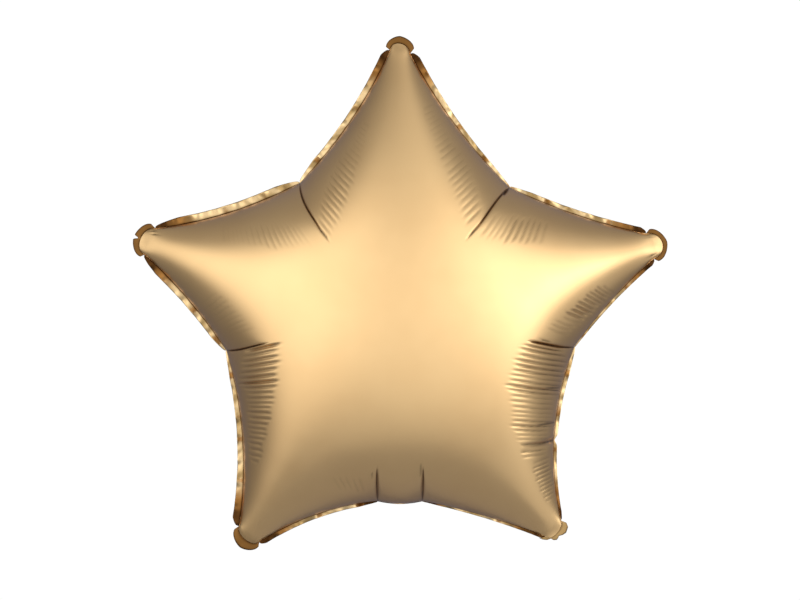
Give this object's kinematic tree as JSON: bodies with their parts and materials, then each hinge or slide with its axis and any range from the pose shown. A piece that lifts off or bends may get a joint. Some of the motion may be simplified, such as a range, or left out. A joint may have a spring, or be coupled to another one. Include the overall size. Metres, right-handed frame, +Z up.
{
  "type": "star foil balloon",
  "caption": "Inflated star-shaped foil balloon with a satin gold skin, a crinkled seal margin, rounded tabs at the tips and a fill neck folded up behind.",
  "frame": {"origin": "on the flat front face of the top tab, 2 mm below the tab's end", "axes": "+Z up, +X to the right as seen from the front, and the front of the balloon faces -Y"},
  "size_m": [0.449, 0.1864, 0.4324],
  "materials": {
    "satin_gold_foil": "satin metallised film"
  },
  "bodies": {
    "root": {"star_balloon": "satin_gold_foil"}
  },
  "joints": []
}
